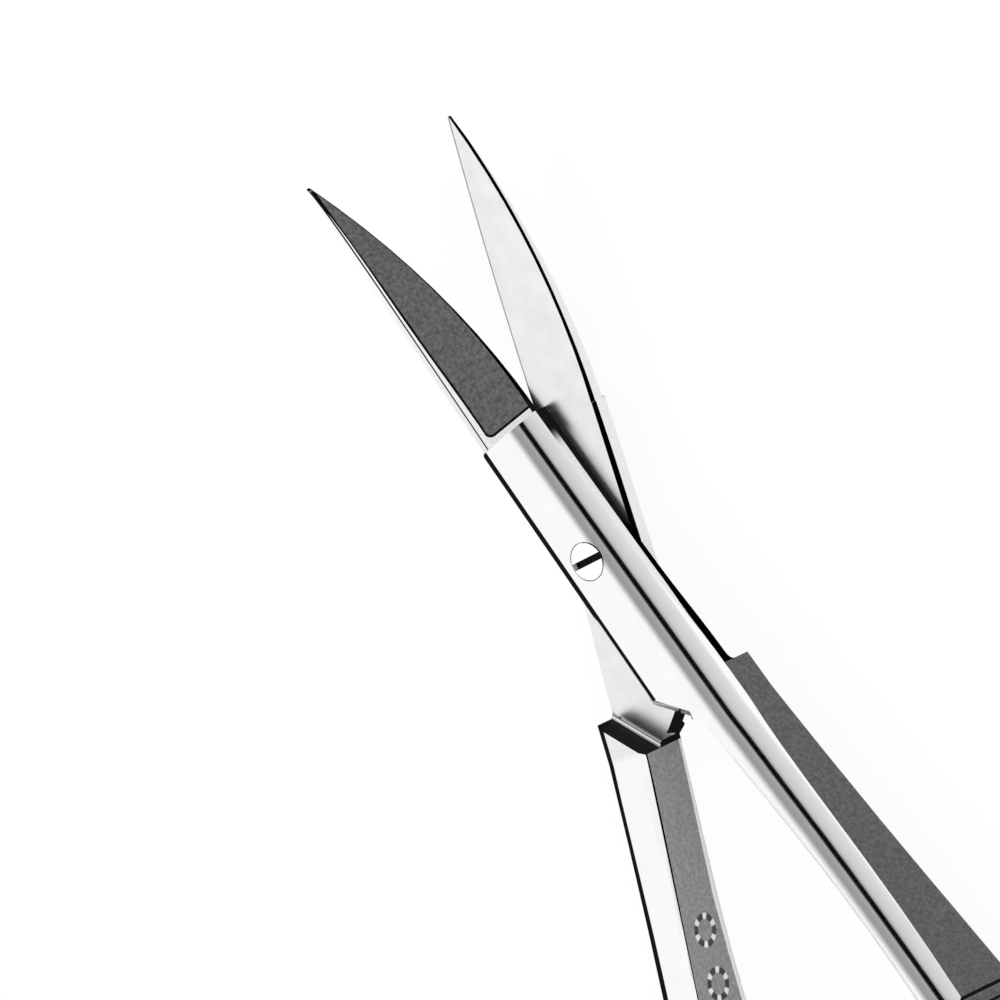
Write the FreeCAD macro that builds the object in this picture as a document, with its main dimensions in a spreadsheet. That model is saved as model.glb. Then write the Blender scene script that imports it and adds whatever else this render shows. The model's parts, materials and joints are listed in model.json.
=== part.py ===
import FreeCAD, Part

import math
import os

import Sketcher

# Spring-handled micro scissors with curved blades, in millimetres.
# +Y runs from the tail to the blade tips, +Z is up, and the origin is under the middle of the whole part.
# Each arm is drawn in a frame of its own: origin on the joint's axis in the plane where the arms meet,
# +Y to the blade tip, +X to the outside of the handle, +Z to the side that carries the ridge.
# The lower arm is the same forging turned over, with its blade curved to the other side of its frame.

SIZES = {
    # The joint
    "half_open": 12.5,
    "lap_thickness": 1.72,
    "lap_gap": 0.04,
    "screw_head_radius": 1.025,
    "screw_head_height": 0.7,
    "screw_shank_radius": 0.8,
    "screw_head_clearance": 0.05,
    "screw_shank_clearance": 0.03,
    "slot_width": 0.38,
    "slot_depth": 0.35,
    # The lap plate
    "shoulder": 8.0,
    "plate_front_half": 1.94,
    "plate_rear_half": 2.36,
    "plate_straight": 7.95,
    "plate_knee_half": 0.65,
    "plate_knee": 9.88,
    "plate_end": 10.5,
    "plate_chamfer": 0.46,
    "inner_wall": 0.1,
    "flank_start": 0.36,
    "flank_radius": 3.0,
    "wall_front": 2.45,
    "waist_start": 1.0,
    "waist_end": 9.0,
    "step_outer": 8.75,
    "step_inner": 10.75,
    "step_fillet": 0.35,
    # The blade
    "blade_length": 16.75,
    "blade_root": 0.5,
    "blade_gap": 0.08,
    "blade_curve_radius": 64.0,
    "cut_base": 1.88,
    "cut_tip_slope": 0.25,
    "back_base": 1.87,
    "back_tip_slope": 0.224,
    "tip_half": 0.03,
    "back_height_tip": 0.2,
    "back_height_base": 1.04,
    "land_tip": 0.02,
    "land_base": 1.0,
    "land_rise": 0.35,
    "edge_height_tip": 0.08,
    "edge_height_base": 0.45,
    # The handle's stations, as distances behind the joint, and its section there
    "neck_place": 11.0,
    "neck_outside": 2.7,
    "neck_crease": 0.0,
    "neck_round": 0.1,
    "front_place": 18.0,
    "front_outside": 2.98,
    "front_thickness": 2.38,
    "front_depth": 1.98,
    "front_flank": 1.85,
    "front_crease": 6.5,
    "front_round": 0.5,
    "grip_place": 29.0,
    "grip_outside": 3.52,
    "grip_thickness": 2.3,
    "grip_depth": 2.58,
    "grip_flank": 1.65,
    "grip_crease": 8.5,
    "grip_round": 0.6,
    "middle_place": 38.0,
    "middle_outside": 3.7,
    "middle_thickness": 2.4,
    "middle_depth": 3.26,
    "middle_flank": 1.5,
    "middle_crease": 8.5,
    "middle_round": 0.6,
    "rear_place": 50.0,
    "rear_outside": 3.68,
    "rear_thickness": 2.36,
    "rear_depth": 3.28,
    "rear_flank": 1.5,
    "rear_crease": 8.5,
    "rear_round": 0.6,
    "tail_place": 64.0,
    "tail_outside": 3.3,
    "tail_thickness": 2.1,
    "tail_depth": 3.0,
    "tail_flank": 1.4,
    "tail_crease": 8.5,
    "tail_round": 0.6,
    "handle_chamfer": 0.25,
    "end_chamfer": 0.35,
    "rest_height": 3.1,
    # The grip's flutes
    "flute_place": 31.2,
    "flute_pitch": 1.5,
    "flute_count": 11,
    "flute_radius": 0.6,
    "flute_floor": 3.36,
    # The leaf springs
    "seat_plane": 1.38,
    "seat_front": 49.6,
    "leaf_front": 50.0,
    "leaf_thickness": 0.6,
    "leaf_width": 4.0,
    "flex_place": 80.0,
    "flex_tangent": 15.0,
    "tail_reach": 37.5,
    "pin_radius": 0.72,
    "pin_clearance": 0.06,
    "pin_length": 4.2,
    "pin_chamfer": 0.15,
    "roll_turn": 292.0,
    "middle_knuckle": 1.5,
    "knuckle_gap": 0.06,
    "knuckle_relief": 0.3,
    # The rivets
    "front_rivet": 54.0,
    "rear_rivet": 60.0,
    "rivet_radius": 0.6,
    "rivet_clearance": 0.02,
    "rivet_inner_radius": 1.0,
    "rivet_inner_height": 0.3,
    "rivet_outer_radius": 1.1,
    "rivet_outer_height": 0.32,
    "spot_plane": 3.26,
    "spot_clearance": 0.05,
    # The stop pin in the lower handle
    "stop_place": 47.5,
    "stop_radius": 0.9,
    "stop_seat": 2.8,
    "stop_reach": 1.16,
    "stop_chamfer": 0.2,
}

HANDLE_STATIONS = ("front", "grip", "middle", "rear", "tail")
BLADE_STATIONS = (0.0, 0.1, 0.35, 0.67, 1.0)

doc = FreeCAD.newDocument("castroviejo_scissors")


def make_sheet(name, values):
    """Write each value in a cell of its own, with its name as the cell's alias."""
    sheet = doc.addObject("Spreadsheet::Sheet", name)
    for row, (alias, number) in enumerate(values.items(), start=1):
        sheet.set(f"A{row}", alias)
        sheet.set(f"B{row}", repr(number))
        sheet.setAlias(f"B{row}", alias)
    doc.recompute()
    return sheet


def work_out_places(size):
    """Return the places that follow from the driving sizes: the springs' bend at rest and the joint's height."""
    turn = math.radians(size["half_open"])
    leaf_middle = size["seat_plane"] - size["leaf_thickness"] / 2
    eye_offset = size["pin_radius"] + size["pin_clearance"] + size["leaf_thickness"] / 2
    pin_arm = math.hypot(eye_offset, size["tail_reach"])
    flex_side = leaf_middle * math.cos(turn) + size["flex_place"] * math.sin(turn)
    flex_back = size["flex_place"] * math.cos(turn) - leaf_middle * math.sin(turn)
    pin_side = eye_offset - leaf_middle
    rest_side = flex_side + pin_side * math.cos(turn)
    pin_back = flex_back + math.sqrt(pin_arm ** 2 - rest_side ** 2)
    swing = math.asin(rest_side / pin_arm) - math.atan2(eye_offset, size["tail_reach"])
    reach = size["shoulder"] + size["blade_length"]
    nose = reach * math.cos(turn) + size["tip_half"] * math.sin(turn)
    tail = pin_back + size["pin_radius"] + size["pin_clearance"] + size["leaf_thickness"]
    return {
        "leaf_middle": leaf_middle,
        "eye_offset": eye_offset,
        "rest_bend": math.degrees(swing) + size["half_open"],
        "joint_place": (tail - nose) / 2,
        "joint_height": size["rest_height"],
    }


sizes = make_sheet("Sizes", SIZES)
places = make_sheet("Places", work_out_places(SIZES))


def value(expression):
    """Return the number that an expression over the sheets stands for."""
    result = sizes.evalExpression(expression)
    return float(getattr(result, "Value", result))


def new_body(label):
    """Return an empty body."""
    body = doc.addObject("PartDesign::Body", label)
    body.Label = label
    return body


def new_sketch(body, name, plane, offset="0"):
    """Return a sketch on one of the body's own origin planes, moved along the plane's normal."""
    sketch = body.newObject("Sketcher::SketchObject", name)
    support = next(item for item in body.Origin.OriginFeatures if item.Role == plane)
    sketch.AttachmentSupport = [(support, "")]
    sketch.MapMode = "FlatFace"
    if offset != "0":
        sketch.setExpression("AttachmentOffset.Base.z", offset)
    return sketch


def pin_point(sketch, geometry, end, corner):
    """Hold one point of a sketch at a corner given as two expressions."""
    for kind, axis, expression in zip(("DistanceX", "DistanceY"), (-2, -1), corner):
        amount = value(expression)
        if abs(amount) < 1e-9:
            sketch.addConstraint(Sketcher.Constraint("PointOnObject", geometry, end, axis))
        else:
            index = sketch.addConstraint(Sketcher.Constraint(kind, -1, 1, geometry, end, amount))
            sketch.setExpression(f"Constraints[{index}]", expression)


def bowed_edge(start, end, radius, side):
    """Return the short arc from start to end that bulges to the right of the way, or to the left with side -1."""
    chord = end - start
    half = chord.Length / 2
    across = FreeCAD.Vector(chord.y, -chord.x, 0).normalize() * side
    rise = radius - math.sqrt(radius ** 2 - half ** 2)
    return Part.Arc(start, start + chord * 0.5 + across * rise, end)


def draw_outline(sketch, corners, arcs=None):
    """Close an outline through corners, with the runs named in arcs curved to a radius and side."""
    arcs = arcs or {}
    points = [FreeCAD.Vector(value(across), value(up), 0) for across, up in corners]
    ends = []
    for run, start in enumerate(points):
        end = points[(run + 1) % len(points)]
        if run in arcs:
            radius, side = arcs[run]
            sketch.addGeometry(bowed_edge(start, end, value(radius), side), False)
            ends.append((1, 2) if side > 0 else (2, 1))
            index = sketch.addConstraint(Sketcher.Constraint("Radius", run, value(radius)))
            sketch.setExpression(f"Constraints[{index}]", radius)
        else:
            sketch.addGeometry(Part.LineSegment(start, end), False)
            ends.append((1, 2))
    for run, corner in enumerate(corners):
        before = run - 1 if run else len(corners) - 1
        sketch.addConstraint(Sketcher.Constraint("Coincident", before, ends[before][1], run, ends[run][0]))
        pin_point(sketch, run, ends[run][0], corner)


def draw_circle(sketch, centre, radius):
    """Add a circle whose centre and radius are expressions."""
    middle = FreeCAD.Vector(value(centre[0]), value(centre[1]), 0)
    index = sketch.addGeometry(Part.Circle(middle, FreeCAD.Vector(0, 0, 1), value(radius)), False)
    pin_point(sketch, index, 3, centre)
    bound = sketch.addConstraint(Sketcher.Constraint("Radius", index, value(radius)))
    sketch.setExpression(f"Constraints[{bound}]", radius)


def pad(body, name, sketch, length, both_sides=False):
    """Raise a sketch along its plane's normal."""
    feature = body.newObject("PartDesign::Pad", name)
    feature.Profile = sketch
    if both_sides:
        feature.SideType = "Symmetric"
    feature.setExpression("Length", length)
    doc.recompute()
    return feature


def cut(body, name, sketch, length=None, along_normal=False, both_sides=False):
    """Cut a sketch into the body, right through when no length is given, and test that it cut."""
    before = body.Shape.Volume
    feature = body.newObject("PartDesign::Pocket", name)
    feature.Profile = sketch
    if both_sides:
        feature.SideType = "Symmetric"
    if length is None:
        feature.Type = "ThroughAll"
    else:
        feature.setExpression("Length", length)
    feature.Reversed = along_normal
    doc.recompute()
    if not body.Shape.Volume < before:
        raise RuntimeError(f"{body.Label}: {name} cuts nothing")
    return feature


def edge_names(shape, wanted):
    """Return the names of a shape's edges whose middle passes a test."""
    names = []
    for number, edge in enumerate(shape.Edges, start=1):
        middle = edge.valueAt((edge.FirstParameter + edge.LastParameter) / 2)
        if wanted(edge, middle):
            names.append(f"Edge{number}")
    return names


def dress_edges(body, name, kind, size_name, size, wanted):
    """Fillet or chamfer the edges of the body that pass a test."""
    base = body.Tip
    names = edge_names(base.Shape, wanted)
    if not names:
        raise RuntimeError(f"{body.Label}: {name} finds no edge")
    feature = body.newObject(kind, name)
    feature.Base = (base, names)
    feature.setExpression(size_name, size)
    doc.recompute()


def blade_section(body, share, curve):
    """Draw the blade's section at a share of the way from its tip to its root, its back to the left."""
    run = f"((Sizes.blade_length + Sizes.blade_root) * {share})"
    part = f"({run} / Sizes.blade_length)"
    ahead = f"(Sizes.shoulder + Sizes.blade_length - {run})"
    lift = f"({curve} * ({ahead} - Sizes.shoulder + Sizes.blade_root) ^ 2 / (2 * Sizes.blade_curve_radius))"
    sides = {}
    for side in ("cut", "back"):
        slope = f"Sizes.{side}_tip_slope"
        bow = f"(({slope} * Sizes.blade_length - Sizes.{side}_base) / Sizes.blade_length ^ 2)"
        sides[side] = f"(Sizes.tip_half + {slope} * {run} - {bow} * {run} ^ 2)"
    face = f"(Sizes.blade_gap / 2 + {lift})"
    back_height = f"(Sizes.back_height_tip + (Sizes.back_height_base - Sizes.back_height_tip) * {part})"
    edge_height = f"(Sizes.edge_height_tip + (Sizes.edge_height_base - Sizes.edge_height_tip) * {part} ^ 3)"
    land = f"(Sizes.land_tip + (Sizes.land_base - Sizes.land_tip) * sqrt({part}))"
    sketch = new_sketch(body, "blade_section", "XZ_Plane", f"-{ahead}")
    draw_outline(sketch, [
        (f"-{sides['back']}", face),
        (f"-{sides['back']}", f"{face} + {back_height}"),
        (f"-{sides['back']} + {land}", f"{face} + {back_height} + Sizes.land_rise * {part}"),
        (sides["cut"], f"{face} + {edge_height}"),
        (sides["cut"], face),
    ])
    return sketch


def add_blade(body, curve):
    """Add the curved blade, lofted from its tip to the shoulder."""
    sections = [blade_section(body, share, curve) for share in BLADE_STATIONS]
    loft = body.newObject("PartDesign::AdditiveLoft", "blade")
    loft.Profile = sections[0]
    loft.Sections = sections[1:]
    doc.recompute()


def add_lap(body):
    """Add the ridge bar and the lap plate between the blade's shoulder and the neck."""
    flank = "(Sizes.neck_outside - Sizes.flank_start)"
    drop = f"(Sizes.flank_radius - sqrt(Sizes.flank_radius ^ 2 - {flank} ^ 2))"
    bar = new_sketch(body, "bar_section", "XZ_Plane", "-Sizes.shoulder")
    draw_outline(bar, [
        ("Sizes.inner_wall", "-Sizes.lap_thickness + Sizes.handle_chamfer"),
        ("Sizes.inner_wall", "Sizes.lap_thickness"),
        ("Sizes.flank_start", "Sizes.lap_thickness"),
        ("Sizes.neck_outside", f"Sizes.lap_thickness - {drop}"),
        ("Sizes.neck_outside", "-Sizes.lap_thickness + Sizes.handle_chamfer"),
        ("Sizes.neck_outside - Sizes.handle_chamfer", "-Sizes.lap_thickness"),
        ("Sizes.inner_wall + Sizes.handle_chamfer", "-Sizes.lap_thickness"),
    ], {2: ("Sizes.flank_radius", -1)})
    pad(body, "ridge_bar", bar, "Sizes.shoulder + Sizes.neck_place")

    plate = new_sketch(body, "plate_outline", "XY_Plane", "Sizes.lap_gap / 2")
    draw_outline(plate, [
        ("Sizes.inner_wall", "Sizes.shoulder"),
        ("-Sizes.plate_front_half", "Sizes.shoulder"),
        ("-Sizes.plate_rear_half", "-Sizes.plate_straight"),
        ("-Sizes.plate_knee_half", "-Sizes.plate_knee"),
        ("Sizes.inner_wall", "-Sizes.plate_end"),
    ])
    pad(body, "lap_plate", plate, "Sizes.lap_thickness - Sizes.lap_gap / 2")


def cut_lap(body):
    """Cut the lap's seat for the other arm, the waist in the outer wall and the edges that are eased."""
    seat = new_sketch(body, "lap_seat", "XY_Plane", "Sizes.lap_gap / 2")
    draw_outline(seat, [
        ("-2 * Sizes.plate_rear_half", "Sizes.shoulder"),
        ("2 * Sizes.neck_outside", "Sizes.shoulder"),
        ("2 * Sizes.neck_outside", "-Sizes.step_outer"),
        ("Sizes.neck_outside", "-Sizes.step_outer"),
        ("Sizes.inner_wall", "-Sizes.step_inner"),
        ("-2 * Sizes.plate_rear_half", "-Sizes.step_inner"),
    ])
    cut(body, "lap_seat_cut", seat, "Sizes.lap_thickness + Sizes.lap_gap")

    waist = new_sketch(body, "waist_outline", "XY_Plane")
    half_in = "((Sizes.neck_outside - Sizes.wall_front) / 2)"
    half_run = "((Sizes.waist_end - Sizes.waist_start) / 2)"
    bend = f"(({half_run} ^ 2 + {half_in} ^ 2) / (2 * {half_in}))"
    draw_outline(waist, [
        ("Sizes.wall_front", "2 * Sizes.shoulder"),
        ("Sizes.wall_front", "-Sizes.waist_start"),
        (f"Sizes.wall_front + {half_in}", f"-Sizes.waist_start - {half_run}"),
        ("Sizes.neck_outside", "-Sizes.waist_end"),
        ("2 * Sizes.neck_outside", "-Sizes.waist_end"),
        ("2 * Sizes.neck_outside", "2 * Sizes.shoulder"),
    ], {1: (bend, 1), 2: (bend, -1)})
    cut(body, "waist", waist, both_sides=True)

    slope_x = "(Sizes.neck_outside + Sizes.inner_wall) / 2"
    slope_y = "-(Sizes.step_outer + Sizes.step_inner) / 2"
    root = FreeCAD.Vector(value(slope_x), value(slope_y), value("Sizes.lap_gap / 2"))
    dress_edges(body, "step_root", "PartDesign::Fillet", "Radius", "Sizes.step_fillet",
                lambda edge, middle: (middle - root).Length < value("Sizes.step_fillet"))
    top = value("Sizes.lap_thickness")
    shoulder = value("Sizes.shoulder")
    dress_edges(body, "plate_edge", "PartDesign::Chamfer", "Size", "Sizes.plate_chamfer",
                lambda edge, middle: abs(middle.z - top) < 1e-6 and middle.x < value("Sizes.inner_wall")
                and -value("Sizes.plate_knee") < middle.y < shoulder - 1e-3 and len(edge.Vertexes) == 2)


def handle_section(body, station):
    """Draw the handle's section at a station, its ridge side up."""
    depth = f"Sizes.{station}_depth"
    inside = f"(Sizes.{station}_outside - Sizes.{station}_thickness)"
    flank = f"Sizes.{station}_flank"
    if station == "neck":
        depth = "Sizes.lap_thickness"
        inside = "Sizes.inner_wall"
        flank = "(Sizes.neck_outside - Sizes.flank_start)"
    outside = f"Sizes.{station}_outside"
    rounding = f"Sizes.{station}_round"
    crease = f"Sizes.{station}_crease"
    steep = f"asin(sin({crease}) + {flank} / Sizes.flank_radius)"
    drop = f"(Sizes.flank_radius * (cos({crease}) - cos({steep})))"
    sketch = new_sketch(body, f"{station}_section", "XZ_Plane", f"Sizes.{station}_place")
    draw_outline(sketch, [
        (inside, f"-{depth} + Sizes.handle_chamfer"),
        (inside, f"{depth} - {rounding}"),
        (f"{inside} + {rounding}", depth),
        (f"{outside} - {flank}", depth),
        (outside, f"{depth} - {drop}"),
        (outside, f"-{depth} + Sizes.handle_chamfer"),
        (f"{outside} - Sizes.handle_chamfer", f"-{depth}"),
        (f"{inside} + Sizes.handle_chamfer", f"-{depth}"),
    ], {1: (rounding, -1), 3: ("Sizes.flank_radius", -1)})
    return sketch


def add_handle(body):
    """Add the handle, lofted from the neck to its rear end."""
    sections = [handle_section(body, station) for station in ("neck",) + HANDLE_STATIONS]
    loft = body.newObject("PartDesign::AdditiveLoft", "handle")
    loft.Profile = sections[0]
    loft.Sections = sections[1:]
    doc.recompute()


def cut_bore(body, name, plane, offset, centre, radius, length=None, along_normal=False, both_sides=False):
    """Cut a round bore whose centre, radius and depth are expressions."""
    sketch = new_sketch(body, f"{name}_circle", plane, offset)
    draw_circle(sketch, centre, radius)
    return cut(body, name, sketch, length, along_normal, both_sides)


def cut_box(body, name, plane, offset, across, up, length=None, along_normal=False, both_sides=False):
    """Cut a rectangle given by its two pairs of limits."""
    sketch = new_sketch(body, f"{name}_box", plane, offset)
    draw_outline(sketch, [(across[0], up[0]), (across[1], up[0]), (across[1], up[1]), (across[0], up[1])])
    return cut(body, name, sketch, length, along_normal, both_sides)


def finish_handle(body):
    """Cut the flats to rest on, the spring's seat, the rivets' bores and the grip's flutes."""
    rear_end = "-Sizes.tail_place - Sizes.end_chamfer"
    end = value("-Sizes.tail_place")
    dress_edges(body, "rear_end", "PartDesign::Chamfer", "Size", "Sizes.end_chamfer",
                lambda edge, middle: all(abs(vertex.Y - end) < 1e-4 for vertex in edge.Vertexes))
    wide = "2 * Sizes.tail_outside"
    for name, way in (("ridge_flat", ""), ("plain_flat", "-")):
        offset = f"{way}Sizes.rest_height"
        cut_box(body, name, "XY_Plane", offset, (f"-{wide}", wide), (rear_end, "-Sizes.front_place"),
                "Sizes.rest_height", along_normal=way == "")
    cut_box(body, "spring_seat", "YZ_Plane", "Sizes.seat_plane", (rear_end, "-Sizes.seat_front"),
            ("-2 * Sizes.rest_height", "2 * Sizes.rest_height"), "Sizes.seat_plane")
    for name in ("front_rivet", "rear_rivet"):
        centre = (f"-Sizes.{name}", "0")
        cut_bore(body, f"{name}_bore", "YZ_Plane", "0", centre, "Sizes.rivet_radius + Sizes.rivet_clearance",
                 along_normal=True)
        cut_bore(body, f"{name}_spot", "YZ_Plane", "Sizes.spot_plane", centre,
                 "Sizes.rivet_outer_radius + Sizes.spot_clearance", "Sizes.tail_thickness", along_normal=True)
    flute = cut_bore(body, "flute", "XY_Plane", "0", ("Sizes.flute_floor + Sizes.flute_radius",
                     "-Sizes.flute_place"), "Sizes.flute_radius", both_sides=True)
    pattern = body.newObject("PartDesign::LinearPattern", "flutes")
    pattern.Originals = [flute]
    along = next(item for item in body.Origin.OriginFeatures if item.Role == "Y_Axis")
    pattern.Direction = (along, [""])
    pattern.Reversed = True
    pattern.Mode = "Spacing"
    pattern.setExpression("Offset", "Sizes.flute_pitch")
    pattern.setExpression("Occurrences", "Sizes.flute_count")
    body.Tip = pattern
    doc.recompute()


def arm_placement(upper):
    """Return the place of an arm's own frame in the part."""
    turn = value("Sizes.half_open")
    joint = FreeCAD.Vector(0, value("Places.joint_place"), value("Places.joint_height"))
    up = FreeCAD.Vector(0, 0, 1)
    if upper:
        return FreeCAD.Placement(joint, FreeCAD.Rotation(up, turn))
    over = FreeCAD.Rotation(FreeCAD.Vector(0, 1, 0), 180)
    return FreeCAD.Placement(joint, FreeCAD.Rotation(up, -turn) * over)


def build_arm(label, upper):
    """Build one arm: blade, lap, handle and the bores for what it carries."""
    body = new_body(label)
    add_blade(body, 1 if upper else -1)
    add_lap(body)
    cut_lap(body)
    add_handle(body)
    finish_handle(body)
    centre = ("0", "0")
    if upper:
        cut_bore(body, "head_bore", "XY_Plane", "Sizes.lap_thickness", centre,
                 "Sizes.screw_head_radius + Sizes.screw_head_clearance",
                 "Sizes.screw_head_height + Sizes.screw_head_clearance")
        cut_bore(body, "shank_bore", "XY_Plane", "Sizes.lap_thickness", centre,
                 "Sizes.screw_shank_radius + Sizes.screw_shank_clearance")
    else:
        cut_bore(body, "thread_bore", "XY_Plane", "Sizes.lap_thickness", centre, "Sizes.screw_shank_radius")
        cut_bore(body, "stop_bore", "YZ_Plane", "0", ("-Sizes.stop_place", "0"), "Sizes.stop_radius",
                 "Sizes.stop_seat", along_normal=True)
    body.Placement = arm_placement(upper)
    return body


def turned_body(label, profile):
    """Turn a profile, given as (along, radius) expressions, about its own X axis."""
    body = new_body(label)
    sketch = new_sketch(body, "profile", "XY_Plane")
    draw_outline(sketch, profile)
    feature = body.newObject("PartDesign::Revolution", "turned")
    feature.Profile = sketch
    feature.ReferenceAxis = (sketch, ["H_Axis"])
    feature.Angle = 360
    doc.recompute()
    return body


def build_screw():
    """Build the joint screw: its head flush in the upper plate, its thread through the lower one."""
    top = "Sizes.lap_thickness"
    seat = f"({top} - Sizes.screw_head_height)"
    body = turned_body("joint_screw", [
        ("-Sizes.lap_thickness", "0"),
        ("-Sizes.lap_thickness", "Sizes.screw_shank_radius"),
        (seat, "Sizes.screw_shank_radius"),
        (seat, "Sizes.screw_head_radius"),
        (top, "Sizes.screw_head_radius"),
        (top, "0"),
    ])
    cut_box(body, "slot", "YZ_Plane", top, ("-2 * Sizes.screw_head_radius", "2 * Sizes.screw_head_radius"),
            ("-Sizes.slot_width / 2", "Sizes.slot_width / 2"), "Sizes.slot_depth")
    joint = FreeCAD.Vector(0, value("Places.joint_place"), value("Places.joint_height"))
    upright = FreeCAD.Rotation(FreeCAD.Vector(0, 1, 0), -90)
    quarter = FreeCAD.Rotation(FreeCAD.Vector(0, 0, 1), 90)
    body.Placement = FreeCAD.Placement(joint, quarter * upright)
    return body


def build_rivet(label, upper, place):
    """Build one rivet: inner head on the spring, shank through the handle, outer head in its spot face."""
    inner_end = "(Sizes.seat_plane - Sizes.leaf_thickness - Sizes.rivet_inner_height)"
    inner_seat = "(Sizes.seat_plane - Sizes.leaf_thickness)"
    outer_end = "(Sizes.spot_plane + Sizes.rivet_outer_height)"
    body = turned_body(label, [
        (inner_end, "0"),
        (inner_end, "Sizes.rivet_inner_radius"),
        (inner_seat, "Sizes.rivet_inner_radius"),
        (inner_seat, "Sizes.rivet_radius"),
        ("Sizes.spot_plane", "Sizes.rivet_radius"),
        ("Sizes.spot_plane", "Sizes.rivet_outer_radius"),
        (outer_end, "Sizes.rivet_outer_radius"),
        (outer_end, "0"),
    ])
    along = FreeCAD.Placement(FreeCAD.Vector(0, -value(place), 0), FreeCAD.Rotation())
    body.Placement = arm_placement(upper) * along
    return body


def build_stop_pin():
    """Build the pin in the lower handle that meets the upper one when the blades are closed."""
    tip = "-Sizes.stop_reach"
    body = turned_body("stop_pin", [
        (tip, "0"),
        (tip, "Sizes.stop_radius - Sizes.stop_chamfer"),
        (f"{tip} + Sizes.stop_chamfer", "Sizes.stop_radius"),
        ("Sizes.stop_seat", "Sizes.stop_radius"),
        ("Sizes.stop_seat", "0"),
    ])
    along = FreeCAD.Placement(FreeCAD.Vector(0, -value("Sizes.stop_place"), 0), FreeCAD.Rotation())
    body.Placement = arm_placement(False) * along
    return body


def tail_point(along, inward):
    """Return the expressions for a point of the spring's tail, set out from the flex along the bent leaf."""
    bend = "Places.rest_bend"
    across = f"Places.leaf_middle - ({along}) * sin({bend}) - ({inward}) * cos({bend})"
    back = f"-Sizes.flex_place - ({along}) * cos({bend}) + ({inward}) * sin({bend})"
    return across, back


def build_spring(label, upper):
    """Build one leaf spring: straight on its seat, bent to the middle, its tail rolled into an eye."""
    body = new_body(label)
    half = "Sizes.leaf_thickness / 2"
    bend_radius = "(Sizes.flex_tangent / tan(Places.rest_bend / 2))"
    eye = "(Sizes.pin_radius + Sizes.pin_clearance)"
    outer = f"({eye} + Sizes.leaf_thickness)"
    front, straight = "-Sizes.leaf_front", "-Sizes.flex_place + Sizes.flex_tangent"
    roll = [f"(Sizes.roll_turn * {share} / 4)" for share in range(1, 5)]

    def eye_point(radius, turn):
        """Return a point on the rolled eye, turned from where the leaf meets it."""
        along = f"Sizes.tail_reach + {radius} * sin({turn})"
        inward = f"Places.eye_offset - {radius} * cos({turn})"
        return tail_point(along, inward)

    leaf = new_sketch(body, "leaf_side", "XY_Plane")
    draw_outline(leaf, [
        (f"Places.leaf_middle - {half}", front),
        (f"Places.leaf_middle - {half}", straight),
        tail_point("Sizes.flex_tangent", half),
        eye_point(eye, "0"),
        *[eye_point(eye, turn) for turn in roll],
        *[eye_point(outer, turn) for turn in reversed(roll)],
        eye_point(outer, "0"),
        tail_point("Sizes.flex_tangent", f"-{half}"),
        (f"Places.leaf_middle + {half}", straight),
        (f"Places.leaf_middle + {half}", front),
    ], {
        1: (f"({bend_radius} - {half})", -1),
        **{run: (eye, -1) for run in range(3, 7)},
        **{run: (outer, 1) for run in range(8, 12)},
        13: (f"({bend_radius} + {half})", 1),
    })
    pad(body, "leaf", leaf, "Sizes.leaf_width", both_sides=True)
    for name in ("front_rivet", "rear_rivet"):
        cut_bore(body, f"{name}_hole", "YZ_Plane", "0", (f"-Sizes.{name}", "0"),
                 "Sizes.rivet_radius + Sizes.rivet_clearance", along_normal=True)
    cut_knuckles(body, upper, outer)
    body.Placement = arm_placement(upper)
    return body


def cut_knuckles(body, upper, outer):
    """Cut the eye to a middle knuckle on the upper spring and to two outer ones on the lower spring."""
    centre = tail_point("Sizes.tail_reach", "Places.eye_offset")
    relief = f"{outer} + Sizes.knuckle_relief"
    if upper:
        for name, way in (("upper_gap", ""), ("lower_gap", "-")):
            cut_bore(body, name, "XY_Plane", f"{way}Sizes.middle_knuckle / 2", centre, relief,
                     along_normal=way == "")
    else:
        cut_bore(body, "middle_gap", "XY_Plane", "0", centre, relief,
                 "Sizes.middle_knuckle + 2 * Sizes.knuckle_gap", both_sides=True)


def build_tail_pin():
    """Build the pin through both springs' eyes."""
    half = "Sizes.pin_length / 2"
    body = turned_body("tail_pin", [
        (f"-{half}", "0"),
        (f"-{half}", "Sizes.pin_radius - Sizes.pin_chamfer"),
        (f"-{half} + Sizes.pin_chamfer", "Sizes.pin_radius"),
        (f"{half} - Sizes.pin_chamfer", "Sizes.pin_radius"),
        (half, "Sizes.pin_radius - Sizes.pin_chamfer"),
        (half, "0"),
    ])
    across, back = tail_point("Sizes.tail_reach", "Places.eye_offset")
    eye = FreeCAD.Placement(FreeCAD.Vector(value(across), value(back), 0),
                            FreeCAD.Rotation(FreeCAD.Vector(0, 1, 0), 90))
    body.Placement = arm_placement(True) * eye
    return body


def export_parts(bodies):
    """Test every object and every shape, then write each sub-part to its own file."""
    doc.recompute()
    for item in doc.Objects:
        if "Invalid" in item.State or "Error" in item.State:
            raise RuntimeError(f"{item.Label} is not built: {item.State}")
    for body in bodies:
        if body.Shape.isNull() or not body.Shape.isValid() or len(body.Shape.Solids) != 1:
            raise RuntimeError(f"{body.Label} is not one sound solid")
    os.makedirs("parts", exist_ok=True)
    for body in bodies:
        body.Shape.exportStep(f"parts/{body.Label}.step")
        box = body.Shape.BoundBox
        print(f"{body.Label:18s} {body.Shape.Volume:9.3f} mm3  "
              f"x {box.XMin:7.2f} {box.XMax:7.2f}  y {box.YMin:7.2f} {box.YMax:7.2f}  "
              f"z {box.ZMin:6.2f} {box.ZMax:6.2f}")


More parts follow.
